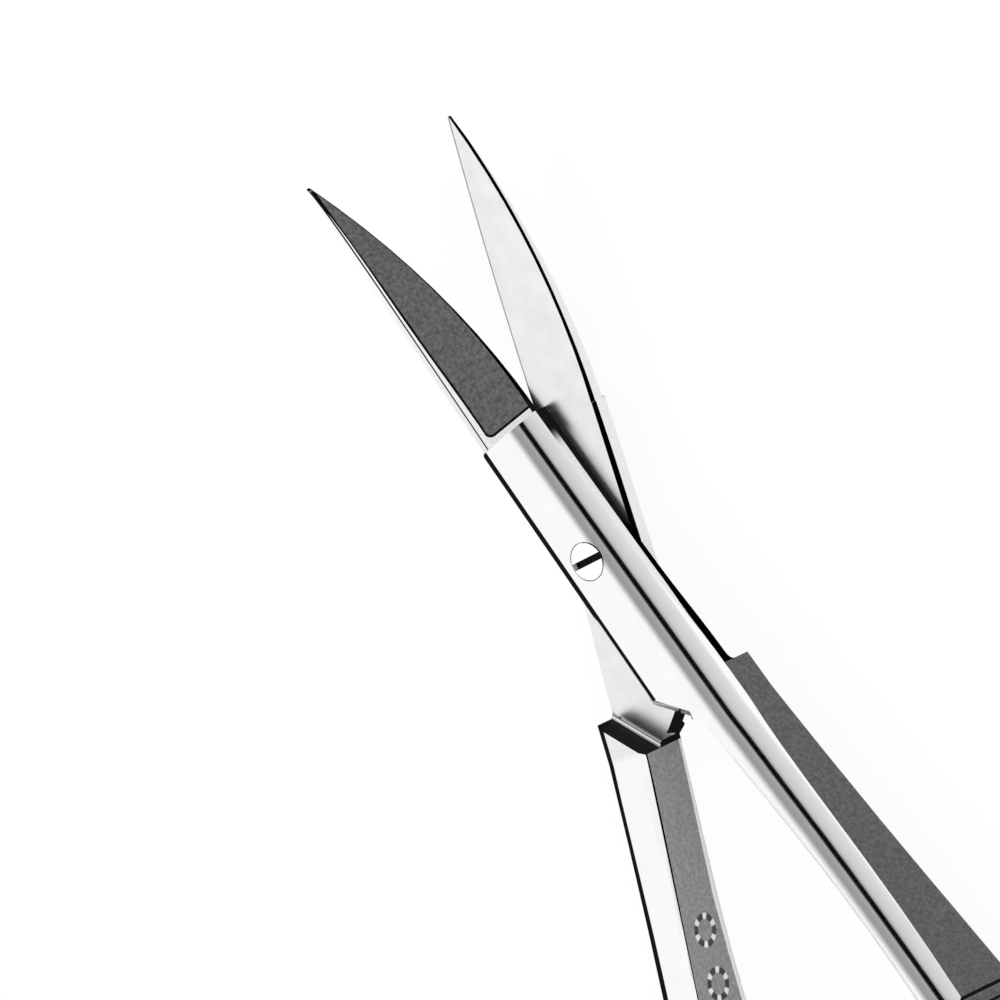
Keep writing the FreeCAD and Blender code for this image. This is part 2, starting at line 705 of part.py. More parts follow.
subparts = [build_arm("upper_arm", True), build_arm("lower_arm", False), build_screw()]
for side, is_upper in (("upper", True), ("lower", False)):
    subparts.append(build_spring(f"{side}_spring", is_upper))
    subparts.append(build_rivet(f"{side}_front_rivet", is_upper, "Sizes.front_rivet"))
    subparts.append(build_rivet(f"{side}_rear_rivet", is_upper, "Sizes.rear_rivet"))
subparts.append(build_tail_pin())
subparts.append(build_stop_pin())
export_parts(subparts)
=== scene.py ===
"""Spring-handled micro scissors: the steel's finishes, the leaf springs, studio and camera.

Everything is in metres in the part's own frame: +Y from the tail to the blade tips, +Z up.
Each arm also has a frame of its own, in millimetres, that its finish is laid out in: origin on the
joint's axis, +Y to the blade tip, +X to the outside of the handle, +Z to the side with the ridge.
"""

import json
import logging
import math
from dataclasses import dataclass, field
from enum import Enum

import bmesh
import bpy
from mathutils import Euler, Matrix, Vector


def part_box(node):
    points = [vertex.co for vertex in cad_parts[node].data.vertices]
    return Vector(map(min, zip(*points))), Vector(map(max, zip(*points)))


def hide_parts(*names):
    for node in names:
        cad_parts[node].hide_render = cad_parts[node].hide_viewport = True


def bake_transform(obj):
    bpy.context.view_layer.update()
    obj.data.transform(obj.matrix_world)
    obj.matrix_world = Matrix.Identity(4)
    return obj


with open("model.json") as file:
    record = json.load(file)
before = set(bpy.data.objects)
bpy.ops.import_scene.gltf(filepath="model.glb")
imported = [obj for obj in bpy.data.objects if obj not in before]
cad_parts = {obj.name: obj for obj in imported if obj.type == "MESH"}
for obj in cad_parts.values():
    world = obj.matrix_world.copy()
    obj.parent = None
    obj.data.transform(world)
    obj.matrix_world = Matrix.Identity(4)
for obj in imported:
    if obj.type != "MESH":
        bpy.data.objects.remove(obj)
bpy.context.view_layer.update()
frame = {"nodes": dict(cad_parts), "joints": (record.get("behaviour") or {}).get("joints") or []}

MM = 0.001
RELIEF = 0.004 * MM  # how high a bump of 1 stands
SOFT_EDGE = 0.03     # how wide a mask's plain edge is, in millimetres

Socket = bpy.types.NodeSocket
Source = object      # a socket, or a plain number, colour or vector
FLOAT = "NodeSocketFloat"
VECTOR = "NodeSocketVector"

logging.basicConfig(level=logging.INFO, format="%(message)s")
log = logging.getLogger("scissors")


class Side(Enum):
    """Which of the two arms a piece belongs to."""

    UPPER = "upper"
    LOWER = "lower"


class Slot(Enum):
    """The record's material slots, which name the materials too."""

    ARM = "arm_steel"
    SCREW = "screw_steel"
    SPRING = "spring_steel"
    RIVET = "rivet_steel"
    PIN = "pin_steel"


@dataclass(frozen=True)
class Finish:
    """How one kind of worked steel looks, or one painted highlight, shade or dark reflection,
    wherever it lies on the piece.
    """

    tone: float
    roughness: float
    tone_spread: float
    roughness_spread: float
    bump: float
    metallic: float = 1.0


POLISHED = Finish(tone=0.78, roughness=0.08, tone_spread=0.04, roughness_spread=0.04, bump=0.003)
GROUND = Finish(tone=0.72, roughness=0.30, tone_spread=0.12, roughness_spread=0.08, bump=0.10)
BLASTED_BLADE = Finish(
    tone=0.20, roughness=0.52, tone_spread=0.40, roughness_spread=0.05, bump=0.40)
BLASTED_OUTSIDE = Finish(
    tone=0.19, roughness=0.50, tone_spread=0.32, roughness_spread=0.05, bump=0.35, metallic=0.3)
BLASTED_INSIDE = Finish(
    tone=0.44, roughness=0.50, tone_spread=0.24, roughness_spread=0.05, bump=0.35, metallic=0.3)
# Painted shade: the dark beads of the stamped rings, the shaded side of their relief on a real
# stamped mark.
STAMP_WITH_PAINTED_SHADE = Finish(
    tone=0.10, roughness=0.60, tone_spread=0.30, roughness_spread=0.05, bump=0.20, metallic=0.3)
# Painted dark: a near-black tone that paints the dark reflection on sheer walls and eased edges,
# and the shade in a screw's slot.
PAINTED_DARK_REFLECTION_AND_SHADE = Finish(tone=0.006, roughness=0.30, tone_spread=0.10, roughness_spread=0.05, bump=0.02)
HONED = Finish(tone=0.30, roughness=0.30, tone_spread=0.20, roughness_spread=0.05, bump=0.05)
# Painted highlight: a near-white, non-metal tone that paints the bright reflection on polished
# bands and walls, and the highlights of the stamped rings.
PAINTED_HIGHLIGHT = Finish(
    tone=0.97, roughness=0.30, tone_spread=0.02, roughness_spread=0.05, bump=0.02, metallic=0.0)


@dataclass(frozen=True)
class Facing:
    """How far a face has to look one way, from 0 to 1, and how softly its mask begins."""

    least: float
    soft: float = 0.1


SHEER = Facing(0.87, 0.06)
LEVEL = Facing(0.9, 0.06)
MATING = Facing(0.93, 0.06)
RIDGE_SIDE = Facing(0.5)
OUTSIDE = Facing(0.9)
INSIDE = Facing(0.85)
INNER_EDGE = Facing(0.3)
BLADE_FACE = Facing(0.06, 0.08)
LEDGE = Facing(0.8)
STEP = Facing(0.6)
STEP_UPRIGHT = Facing(0.35)
FLANK_OUT = Facing(0.05, 0.04)
FLANK_TOP = Facing(0.5, 0.06)


class Wires:
    """A short way to place and join nodes in one tree."""

    def __init__(self, tree: bpy.types.NodeTree) -> None:
        """Start with an empty tree.

        Args:
            tree: the node tree to fill.
        """
        self.tree = tree
        self.nodes = tree.nodes
        self.nodes.clear()

    def add(self, kind: str, **settings: object) -> bpy.types.Node:
        """Place a node.

        Args:
            kind: the node's type name.
            settings: properties to set on the node.

        Returns:
            The new node.
        """
        node = self.nodes.new(kind)
        for name, setting in settings.items():
            setattr(node, name, setting)
        return node

    def feed(self, source: Source, socket: Socket) -> None:
        """Give a socket a link or a plain value.

        Args:
            source: what to feed, or None to leave the socket alone.
            socket: the input socket.
        """
        if isinstance(source, bpy.types.NodeSocket):
            self.tree.links.new(source, socket)
        elif source is not None:
            socket.default_value = source

    def math(self, operation: str, first: Source, second: Source = None,
             third: Source = None) -> Socket:
        """Work out a number.

        Args:
            operation: the Math node's operation.
            first: the first number.
            second: the second, if any.
            third: the third, if any.

        Returns:
            The result's socket.
        """
        node = self.add("ShaderNodeMath", operation=operation)
        for socket, source in zip(node.inputs, (first, second, third)):
            self.feed(source, socket)
        return node.outputs[0]

    def blend(self, share: Source, low: Source, high: Source, vectors: bool = False) -> Socket:
        """Mix two numbers, or two vectors.

        Args:
            share: the second one's share, from 0 to 1.
            low: the first.
            high: the second.
            vectors: whether they are vectors.

        Returns:
            The result's socket.
        """
        node = self.add("ShaderNodeMix", data_type="VECTOR" if vectors else "FLOAT")
        kind = "VECTOR" if vectors else "VALUE"
        self.feed(share, node.inputs["Factor"])
        ends = [one for one in node.inputs if one.type == kind and one.name in ("A", "B")]
        for source, socket in zip((low, high), ends):
            self.feed(source, socket)
        return next(one for one in node.outputs if one.type == kind)

    def ramp(self, number: Source, start: Source, end: Source) -> Socket:
        """Turn a number into a mask.

        Args:
            number: the number.
            start: where the mask is still 0.
            end: where it has smoothly come to 1.

        Returns:
            The mask's socket.
        """
        node = self.add("ShaderNodeMapRange", interpolation_type="SMOOTHSTEP")
        for name, source in (("Value", number), ("From Min", start), ("From Max", end)):
            self.feed(source, node.inputs[name])
        return node.outputs["Result"]

    def grey(self, tone: Source) -> Socket:
        """Make a neutral colour.

        Args:
            tone: how light it is.

        Returns:
            The colour's socket.
        """
        node = self.add("ShaderNodeCombineColor")
        for name in ("Red", "Green", "Blue"):
            self.feed(tone, node.inputs[name])
        return node.outputs["Color"]

    def join(self, *numbers: Source) -> Socket:
        """Return the vector of three numbers."""
        node = self.add("ShaderNodeCombineXYZ")
        for number, socket in zip(numbers, node.inputs):
            self.feed(number, socket)
        return node.outputs[0]

    def split(self, vector: Source) -> tuple[Socket, ...]:
        """Return a vector's three numbers."""
        node = self.add("ShaderNodeSeparateXYZ")
        self.feed(vector, node.inputs[0])
        return tuple(node.outputs)

    def noise(self, vector: Socket, scale: Source, detail: float) -> bpy.types.Node:
        """Place a noise pattern.

        Args:
            vector: where the point lies.
            scale: how many patches lie in a unit.
            detail: how many finer layers it has.

        Returns:
            The pattern's node.
        """
        node = self.add("ShaderNodeTexNoise")
        for name, source in (("Vector", vector), ("Scale", scale), ("Detail", detail)):
            self.feed(source, node.inputs[name])
        return node

    def group(self, tree: bpy.types.NodeTree, **inputs: Source) -> bpy.types.Node:
        """Place a group.

        Args:
            tree: the group's own tree.
            inputs: what to feed its inputs, by name.

        Returns:
            The group's node.
        """
        node = self.add("ShaderNodeGroup", node_tree=tree)
        for name, source in inputs.items():
            self.feed(source, node.inputs[name])
        return node


def start_group(name: str, inputs: dict[str, str],
                outputs: dict[str, str]) -> tuple[Wires, bpy.types.Node, bpy.types.Node]:
    """Make an empty shader node group.

    Args:
        name: the group's name.
        inputs: each input's name and socket type.
        outputs: each output's name and socket type.

    Returns:
        The group's wires, its input node and its output node.
    """
    tree = bpy.data.node_groups.new(name, "ShaderNodeTree")
    wires = Wires(tree)
    for way, sockets in (("INPUT", inputs), ("OUTPUT", outputs)):
        for label, kind in sockets.items():
            tree.interface.new_socket(label, in_out=way, socket_type=kind)
    return wires, wires.add("NodeGroupInput"), wires.add("NodeGroupOutput")


def start_material(name: str) -> tuple[bpy.types.Material, Wires]:
    """Return a new material and the wires of its empty tree."""
    material = bpy.data.materials.new(name)
    material.use_nodes = True
    return material, Wires(material.node_tree)


@dataclass
class Effects:
    """The effects that the finishes share, each built once as a node group."""

    line_detail: float = 4.0
    cloud_scale: float = 0.9
    cloud_detail: float = 3.0
    mottle_detail: float = 5.0
    mottle_roughness: float = 0.65
    mottle_start: float = 0.25
    mottle_end: float = 0.75
    pits_in_size: float = 1.6
    wear_break: float = 0.02
    wear_fade: float = 0.06
    brushing: bpy.types.NodeTree = field(init=False)
    blasting: bpy.types.NodeTree = field(init=False)
    edge_wear: bpy.types.NodeTree = field(init=False)

    def __post_init__(self) -> None:
        """Build the groups."""
        self.brushing = self.build_brushing()
        self.blasting = self.build_blasting()
        self.edge_wear = self.build_edge_wear()

    def build_brushing(self) -> bpy.types.NodeTree:
        """Build the fine lines that a wheel leaves along a piece, and the patches from wiping.

        Returns:
            The group's tree.
        """
        wires, source, result = start_group(
            "wheel_lines", {"Vector": VECTOR, "Across": FLOAT, "Along": FLOAT},
            {"Lines": FLOAT, "Clouds": FLOAT})
        across, along = source.outputs["Across"], source.outputs["Along"]
        scaled = wires.add("ShaderNodeVectorMath", operation="MULTIPLY")
        wires.feed(source.outputs["Vector"], scaled.inputs[0])
        wires.feed(wires.join(across, along, across), scaled.inputs[1])
        lines = wires.noise(scaled.outputs[0], 1.0, self.line_detail)
        clouds = wires.noise(source.outputs["Vector"], self.cloud_scale, self.cloud_detail)
        wires.feed(lines.outputs["Fac"], result.inputs["Lines"])
        wires.feed(clouds.outputs["Fac"], result.inputs["Clouds"])
        return wires.tree

    def build_blasting(self) -> bpy.types.NodeTree:
        """Build the mottled, pitted skin that bead blasting leaves.

        Returns:
            The group's tree.
        """
        wires, source, result = start_group(
            "bead_blasting", {"Vector": VECTOR, "Size": FLOAT}, {"Mottle": FLOAT, "Pits": FLOAT})
        vector, size = source.outputs["Vector"], source.outputs["Size"]
        fine = wires.noise(vector, wires.math("DIVIDE", 1.0, size), self.mottle_detail)
        fine.inputs["Roughness"].default_value = self.mottle_roughness
        pits = wires.add("ShaderNodeTexVoronoi", feature="SMOOTH_F1")
        wires.feed(vector, pits.inputs["Vector"])
        wires.feed(wires.math("DIVIDE", self.pits_in_size, size), pits.inputs["Scale"])
        mottle = wires.ramp(fine.outputs["Fac"], self.mottle_start, self.mottle_end)
        wires.feed(mottle, result.inputs["Mottle"])
        wires.feed(pits.outputs["Distance"], result.inputs["Pits"])
        return wires.tree

    def build_edge_wear(self) -> bpy.types.NodeTree:
        """Build the mask of edges that handling has brightened, broken up by the wheel's lines.

        Returns:
            The group's tree.
        """
        wires, source, result = start_group(
            "edge_wear", {"Start": FLOAT, "Lines": FLOAT}, {"Mask": FLOAT})
        shape = wires.add("ShaderNodeNewGeometry")
        broken = wires.math("MULTIPLY", source.outputs["Lines"], self.wear_break)
        start = wires.math("ADD", source.outputs["Start"], broken)
        end = wires.math("ADD", start, self.wear_fade)
        wires.feed(wires.ramp(shape.outputs["Pointiness"], start, end), result.inputs["Mask"])
        return wires.tree


def vary(wires: Wires, pattern: Socket, middle: float, spread: float) -> Socket:
    """Move a finish's value about its middle by a pattern.

    Args:
        wires: the material's tree.
        pattern: the pattern, from 0 to 1.
        middle: the value where the pattern is 0.5.
        spread: the share of the middle that it moves by, up and down.

    Returns:
        The value's socket.
    """
    away = wires.math("SUBTRACT", pattern, 0.5)
    return wires.math("MULTIPLY_ADD", away, spread * middle * 2, middle)


def finish_shader(wires: Wires, tone: Source, roughness: Source, height: Source,
                  metallic: Source = 1.0, normal: Source = None) -> None:
    """Feed a metal shader.

    Args:
        wires: the material's tree.
        tone: the grey of the metal.
        roughness: its roughness.
        height: the height of its fine relief, from 0 to 1.
        metallic: how far it is bare metal.
        normal: the normal to start from, or None for the surface's own.
    """
    shader = wires.add("ShaderNodeBsdfPrincipled")
    wires.feed(metallic, shader.inputs["Metallic"])
    wires.feed(wires.grey(tone), shader.inputs["Base Color"])
    wires.feed(roughness, shader.inputs["Roughness"])
    bump = wires.add("ShaderNodeBump")
    bump.inputs["Distance"].default_value = RELIEF
    wires.feed(height, bump.inputs["Height"])
    wires.feed(normal, bump.inputs["Normal"])
    wires.feed(bump.outputs[0], shader.inputs["Normal"])
    output = wires.add("ShaderNodeOutputMaterial")
    wires.feed(shader.outputs[0], output.inputs["Surface"])


def dress(piece: bpy.types.Object, material: bpy.types.Material) -> None:
    """Give a piece one material in all of its slots.

    Args:
        piece: the piece.
        material: the material.
    """
    if piece.data.materials:
        for index in range(len(piece.data.materials)):
            piece.data.materials[index] = material
    else:
        piece.data.materials.append(material)


def find_joint(name: str) -> dict:
    """Return the record's joint of that name."""
    return next(joint for joint in frame["joints"] if joint["name"] == name)


@dataclass(frozen=True)
class ArmFrame:
    """Where an arm's own frame lies in the part's frame, at rest."""

    origin: Vector
    turn: Euler

    @classmethod
    def of(cls, side: Side) -> "ArmFrame":
        """Work the frame out from the pivot joint: at rest each arm stands at half its travel.

        Args:
            side: which arm.

        Returns:
            The arm's frame.
        """
        pivot = find_joint("joint_pivot")
        half = math.radians(max(pivot["range_deg"])) / 2
        turn = Euler((0, 0, half)) if side is Side.UPPER else Euler((0, math.pi, -half))
        return cls(Vector(pivot["pos_m"]), turn)

    def place(self, wires: Wires) -> Socket:
        """Find the shaded point.

        Args:
            wires: the material's tree.

        Returns:
            The point in the arm's frame, in millimetres.
        """
        here = wires.add("ShaderNodeTexCoord")
        mapping = wires.add("ShaderNodeMapping", vector_type="TEXTURE")
        wires.feed(here.outputs["Object"], mapping.inputs["Vector"])
        mapping.inputs["Location"].default_value = self.origin
        mapping.inputs["Rotation"].default_value = self.turn
        mapping.inputs["Scale"].default_value = (MM, MM, MM)
        return mapping.outputs[0]

    def facing(self, wires: Wires) -> Socket:
        """Find the surface's normal.

        Args:
            wires: the material's tree.

        Returns:
            The normal in the arm's frame.
        """
        here = wires.add("ShaderNodeTexCoord")
        mapping = wires.add("ShaderNodeMapping", vector_type="TEXTURE")
        wires.feed(here.outputs["Normal"], mapping.inputs["Vector"])
        mapping.inputs["Rotation"].default_value = self.turn
        return mapping.outputs[0]


@dataclass(frozen=True)
class Growth:
    """A size of the handle's section, in millimetres, that grows behind the neck."""

    start: float
    slope: float
    bow: float

    def at(self, wires: Wires, back: Socket) -> Socket:
        """Return the size at a distance behind the neck."""
        slope = wires.math("MULTIPLY_ADD", back, self.bow, self.slope)
        return wires.math("MULTIPLY_ADD", slope, back, self.start)


@dataclass(frozen=True)
class Taper:
    """A height, in millimetres, that goes smoothly from its first value to its last one."""

    start: float
    end: float
    first: float
    last: float

    def at(self, wires: Wires, along: Socket, origin: float = 0.0) -> Socket:
        """Return the height at a place along the arm, with start and end counted from origin."""
        share = wires.ramp(along, origin + self.start, origin + self.end)
        return wires.blend(share, self.first, self.last)


@dataclass(frozen=True)
class ArmShape:
    """The sizes of an arm that its finish follows, in millimetres in the arm's frame."""

    shoulder: float = 8.0
    step: float = 8.75
    step_end: float = 10.75
    neck: float = 11.0
    plate_half: float = 1.94
    plate_flare: float = 0.0263
    plate_straight: float = 7.95
    plate_chamfer: float = 0.46
    handle_chamfer: float = 0.25
    flank_radius: float = 3.0
    blade_length: float = 16.75
    blade_root: float = 0.5
    blade_curve_radius: float = 64.0
    tip_half: float = 0.03
    cut_slope: float = 0.25
    cut_bow: float = 0.008225
    back_slope: float = 0.224
    back_bow: float = 0.006708
    land_base: float = 0.98
    matte_corner: float = 0.45
    matte_start: float = -0.88
    outside: Growth = Growth(2.7, 0.0365, 0.0005)
    depth: Growth = Growth(1.72, 0.0304, 0.00097)
    flank_start: Growth = Growth(0.36, 0.0629, -0.0002)


@dataclass
class ArmSurface:
    """The shaded point of an arm and its normal, in the arm's frame."""

    wires: Wires
    frame: ArmFrame
    shape: ArmShape
    place: Socket = field(init=False)
    across: Socket = field(init=False)
    along: Socket = field(init=False)
    up: Socket = field(init=False)
    out: Socket = field(init=False)
    ahead: Socket = field(init=False)
    top: Socket = field(init=False)
    back: Socket = field(init=False)

    def __post_init__(self) -> None:
        """Place the nodes that say where the point lies and how it faces."""
        wires = self.wires
        self.place = self.frame.place(wires)
        self.across, self.along, self.up = wires.split(self.place)
        self.out, self.ahead, self.top = wires.split(self.frame.facing(wires))
        behind = wires.math("MULTIPLY_ADD", self.along, -1.0, -self.shape.neck)
        self.back = wires.math("MAXIMUM", behind, 0.0)

    def all(self, *masks: Socket) -> Socket:
        """Return the mask of where every one of the masks holds."""
        whole = masks[0]
        for mask in masks[1:]:
            whole = self.wires.math("MULTIPLY", whole, mask)
        return whole

    def any(self, *masks: Socket) -> Socket:
        """Return the mask of where at least one of the masks holds."""
        whole = masks[0]
        for mask in masks[1:]:
            whole = self.wires.math("MAXIMUM", whole, mask)
        return whole

    def over(self, number: Source, limit: Source, soft: float = SOFT_EDGE) -> Socket:
        """Return the mask of where a number is over a limit, softened by a width."""
        return self.wires.ramp(self.wires.math("SUBTRACT", number, limit), -soft / 2, soft / 2)

    def under(self, number: Source, limit: Source, soft: float = SOFT_EDGE) -> Socket:
        """Return the mask of where a number is under a limit, softened by a width."""
        return self.wires.ramp(self.wires.math("SUBTRACT", limit, number), -soft / 2, soft / 2)

    def looks(self, part: Socket, facing: Facing) -> Socket:
        """Return the mask of where a part of the normal looks far enough its own way."""
        return self.over(part, facing.least, facing.soft)

    def looks_back(self, part: Socket, facing: Facing) -> Socket:
        """Return the mask of where a part of the normal looks far enough the other way."""
        return self.under(part, -facing.least, facing.soft)


@dataclass
class ArmSteel:
    """The material of one arm: polished all over, blasted on the blade and the handle's sides.

    The sizes are in millimetres. Its lines and sheer walls are painted dark reflection, the dark
    that the real, rounder edges mirror, and its white bands are painted highlight.
    """

    side: Side
    effects: Effects
    shape: ArmShape = ArmShape()
    lines_across: float = 9.0
    lines_along: float = 0.5
    bead_size: float = 0.22
    blade_margin: float = 0.4
    margin_lap: float = 0.06
    margin_reach: float = 1.2
    honed_width: float = 0.09
    # The widths of the lines painted dark as reflection.
    painted_edge_line: float = 0.24
    painted_fine_line: float = 0.13
    painted_land_line: float = 0.5
    ground_end: float = 0.25
    ground_fade: float = 0.5
    back_line: Taper = Taper(start=-4.0, end=6.0, first=0.50, last=0.30)
    brow_line: Taper = Taper(start=-6.0, end=-3.0, first=0.60, last=0.42)
    brow_end: float = 1.8
    brow_fade: float = 1.2
    inner_depth: float = 0.25
    inner_slope: float = 0.06
    inner_most: float = 0.75
    flank_steepest: float = 0.85
    flank_turn_in: float = 2.0
    flank_end: float = 0.1
    ring_places: tuple[float, ...] = (-20.8, -23.75)
    ring_radius: float = 0.75
    ring_half_width: float = 0.17
    ring_soft: float = 0.08
    ring_beads: float = 6.0
    bead_low: float = 0.2
    bead_high: float = 0.4
    bead_soft: float = 0.5

    def build(self) -> bpy.types.Material:
        """Build the material.

        Returns:
            The material, named for the arm.
        """
        material, wires = start_material(f"{self.side.value}_{Slot.ARM.value}")
        face = ArmSurface(wires, ArmFrame.of(self.side), self.shape)
        layers = [
            (self.mating_mask(face), GROUND),
            (self.edge_mask(face), HONED),
            (self.inside_mask(face), BLASTED_INSIDE),
            (self.outside_mask(face), BLASTED_OUTSIDE),
            # The margin is polished steel, painted white as its highlight.
            (self.margin_painted_highlight_mask(face), PAINTED_HIGHLIGHT),
            (self.blade_mask(face), BLASTED_BLADE),
            # Then painted dark reflection and shade on walls and edges, and painted highlight on
            # the back walls, the inner edge and the brow.
            (self.painted_dark_mask(face), PAINTED_DARK_REFLECTION_AND_SHADE),
            (self.painted_highlight_mask(face), PAINTED_HIGHLIGHT),
        ]
        if self.side is Side.LOWER:
            low, high = self.ring_masks(face)
            # The rings' dark beads are painted shade and their bright beads painted highlight.
            layers += [(low, STAMP_WITH_PAINTED_SHADE), (high, PAINTED_HIGHLIGHT)]
        self.mix_finishes(face, layers)
        return material

    def behind_tip(self, face: ArmSurface) -> Socket:
        """Return how far behind the blade's tip the point lies."""
        tip = self.shape.shoulder + self.shape.blade_length
        return face.wires.math("SUBTRACT", tip, face.along)

    def blade_half(self, face: ArmSurface, slope: float, bow: float) -> Socket:
        """Work out how far the blade reaches to one side of its middle line.

        Args:
            face: the arm's surface.
            slope: how fast that side widens at the tip.
            bow: how much of that it loses on each millimetre back.

        Returns:
            The reach.
        """
        run = self.behind_tip(face)
        rate = face.wires.math("MULTIPLY_ADD", run, -bow, slope)
        return face.wires.math("MULTIPLY_ADD", rate, run, self.shape.tip_half)

    def blade_start(self, face: ArmSurface) -> Socket:
        """Work out where the blasted face starts, which it does with a rounded corner.

        Args:
            face: the arm's surface.

        Returns:
            How far the point lies from the middle of that corner's arc.
        """
        wires, shape = face.wires, self.shape
        low = shape.shoulder + self.blade_margin + shape.matte_corner
        left = shape.matte_start + shape.matte_corner
        across = wires.math("MAXIMUM", wires.math("SUBTRACT", left, face.across), 0.0)
        along = wires.math("MAXIMUM", wires.math("SUBTRACT", low, face.along), 0.0)
        square = wires.math("MULTIPLY_ADD", across, across, wires.math("MULTIPLY", along, along))
        return wires.math("SQRT", square)

    def blade_mask(self, face: ArmSurface) -> Socket:
        """Return the mask of the blade's blasted outer face."""
        return face.all(face.under(self.blade_start(face), self.shape.matte_corner),
                        face.over(face.along, self.shape.shoulder),
                        face.looks(face.out, BLADE_FACE), face.looks(face.top, RIDGE_SIDE))

    def margin_painted_highlight_mask(self, face: ArmSurface) -> Socket:
        """Return the mask of the polished margin between the lap plate and the blasted face,
        painted white as its highlight.
        """
        near = face.all(face.over(face.along, self.shape.shoulder - self.margin_lap),
                        face.under(face.along, self.shape.shoulder + self.margin_reach))
        return face.all(near, face.any(face.looks(face.top, RIDGE_SIDE),
                                       face.looks(face.ahead, LEDGE)))

    def edge_mask(self, face: ArmSurface) -> Socket:
        """Return the mask of the fine honed line along the blade's cutting edge."""
        reach = self.blade_half(face, self.shape.cut_slope, self.shape.cut_bow)
        return face.all(
            face.over(face.along, self.shape.shoulder), face.looks_back(face.top, LEVEL),
            face.over(face.across, face.wires.math("SUBTRACT", reach, self.honed_width)))

    def outside_mask(self, face: ArmSurface) -> Socket:
        """Return the mask of the handle's outer side, blasted from the step back."""
        return face.all(face.under(face.along, -self.shape.step), face.looks(face.out, OUTSIDE))

    def inside_mask(self, face: ArmSurface) -> Socket:
        """Return the mask of the handle's inner side, blasted from the step back."""
        return face.all(face.under(face.along, -self.shape.step_end),
                        face.looks_back(face.out, INSIDE))

    def mating_mask(self, face: ArmSurface) -> Socket:
        """Return the mask of the ground face where the arms meet."""
        return face.all(
            face.over(face.along, -self.shape.neck + self.ground_end, self.ground_fade),
            face.looks_back(face.top, MATING))

    def painted_highlight_mask(self, face: ArmSurface) -> Socket:
        """Mask the edges painted white as highlight, the bright reflection on polished steel.

        Args:
            face: the arm's surface.

        Returns:
            The mask of the back walls off the mating face, the handle's rounded inner edge and
            the brow under the flank.
        """
        wires, shape = face.wires, self.shape
        root = shape.shoulder - shape.blade_root
        from_root = wires.math("MAXIMUM", wires.math("SUBTRACT", face.along, root), 0.0)
        way = 1 if self.side is Side.UPPER else -1
        lift = wires.math("DIVIDE", wires.math("MULTIPLY", from_root, from_root),
                          way * 2 * shape.blade_curve_radius)
        dark = self.back_line.at(wires, face.along, shape.shoulder)
        above = wires.math("SUBTRACT", wires.math("SUBTRACT", face.up, lift), dark)
        back = face.all(face.looks_back(face.out, SHEER),
                        face.over(face.along, -shape.plate_straight), face.over(above, 0.0))

        drop = wires.math("MULTIPLY_ADD", face.back, self.inner_slope, self.inner_depth)
        drop = wires.math("MINIMUM", drop, self.inner_most)
        limit = wires.math("SUBTRACT", shape.depth.at(wires, face.back), drop)
        inner = face.all(face.under(face.along, -shape.step_end),
                         face.looks_back(face.out, INNER_EDGE), face.over(face.up, limit))

        brow = face.all(
            face.looks(face.out, SHEER), face.over(face.along, -shape.step),
            face.under(face.along, shape.shoulder - self.brow_end, self.brow_fade),
            face.over(face.up, self.brow_line.at(wires, face.along)))
        return face.any(back, inner, brow)

    def painted_dark_mask(self, face: ArmSurface) -> Socket:
        """Return the mask of all that is painted dark, as reflection and shade: sheer walls and
        the lines along edges.
        """
        return face.any(*self.painted_dark_walls(face), self.painted_plate_line(face), *self.painted_handle_lines(face),
                        *self.painted_blade_lines(face))

    def painted_dark_walls(self, face: ArmSurface) -> tuple[Socket, Socket]:
        """Mask the upright faces, which are painted dark.

        Args:
            face: the arm's surface.

        Returns:
            The masks of the sheer walls ahead of the step and of the step itself.
        """
        wires, shape = face.wires, self.shape
        steep = face.looks(wires.math("ABSOLUTE", face.out), SHEER)
        walls = face.all(steep, face.over(face.along, -shape.step))
        upright = face.under(
            wires.math("ABSOLUTE", face.top), STEP_UPRIGHT.least, STEP_UPRIGHT.soft)
        step = face.all(
            face.looks(face.ahead, STEP), face.under(face.along, -shape.step), upright)
        return walls, step

    def painted_plate_line(self, face: ArmSurface) -> Socket:
        """Mask the painted dark reflection line along the lap plate's eased edge.

        Args:
            face: the arm's surface.

        Returns:
            The line's mask.
        """
        wires, shape = face.wires, self.shape
        flare = wires.math("MULTIPLY_ADD", face.along, -shape.plate_flare,
                           shape.shoulder * shape.plate_flare)
        from_edge = wires.math("ADD", face.across, wires.math("ADD", flare, shape.plate_half))
        return face.all(face.looks(face.top, LEVEL), face.under(face.along, shape.shoulder),
                        face.over(face.along, -shape.plate_straight),
                        face.under(from_edge, shape.plate_chamfer + self.painted_edge_line))

    def painted_handle_lines(self, face: ArmSurface) -> tuple[Socket, Socket]:
        """Mask the painted dark reflection lines along the handle's eased edges.

        Args:
            face: the arm's surface.

        Returns:
            The masks of the line on its plain face, at the outside, and of the one at the foot
            of its inner side.
        """
        wires, shape = face.wires, self.shape
        behind = face.under(face.along, -shape.step)
        edge = wires.math("SUBTRACT", shape.outside.at(wires, face.back),
                          shape.handle_chamfer + self.painted_edge_line)
        plain = face.all(behind, face.looks_back(face.top, LEVEL), face.over(face.across, edge))
        foot = wires.math("SUBTRACT", shape.handle_chamfer + self.painted_fine_line,
                          shape.depth.at(wires, face.back))
        inner = face.all(behind, face.looks_back(face.out, INSIDE), face.under(face.up, foot))
        return plain, inner

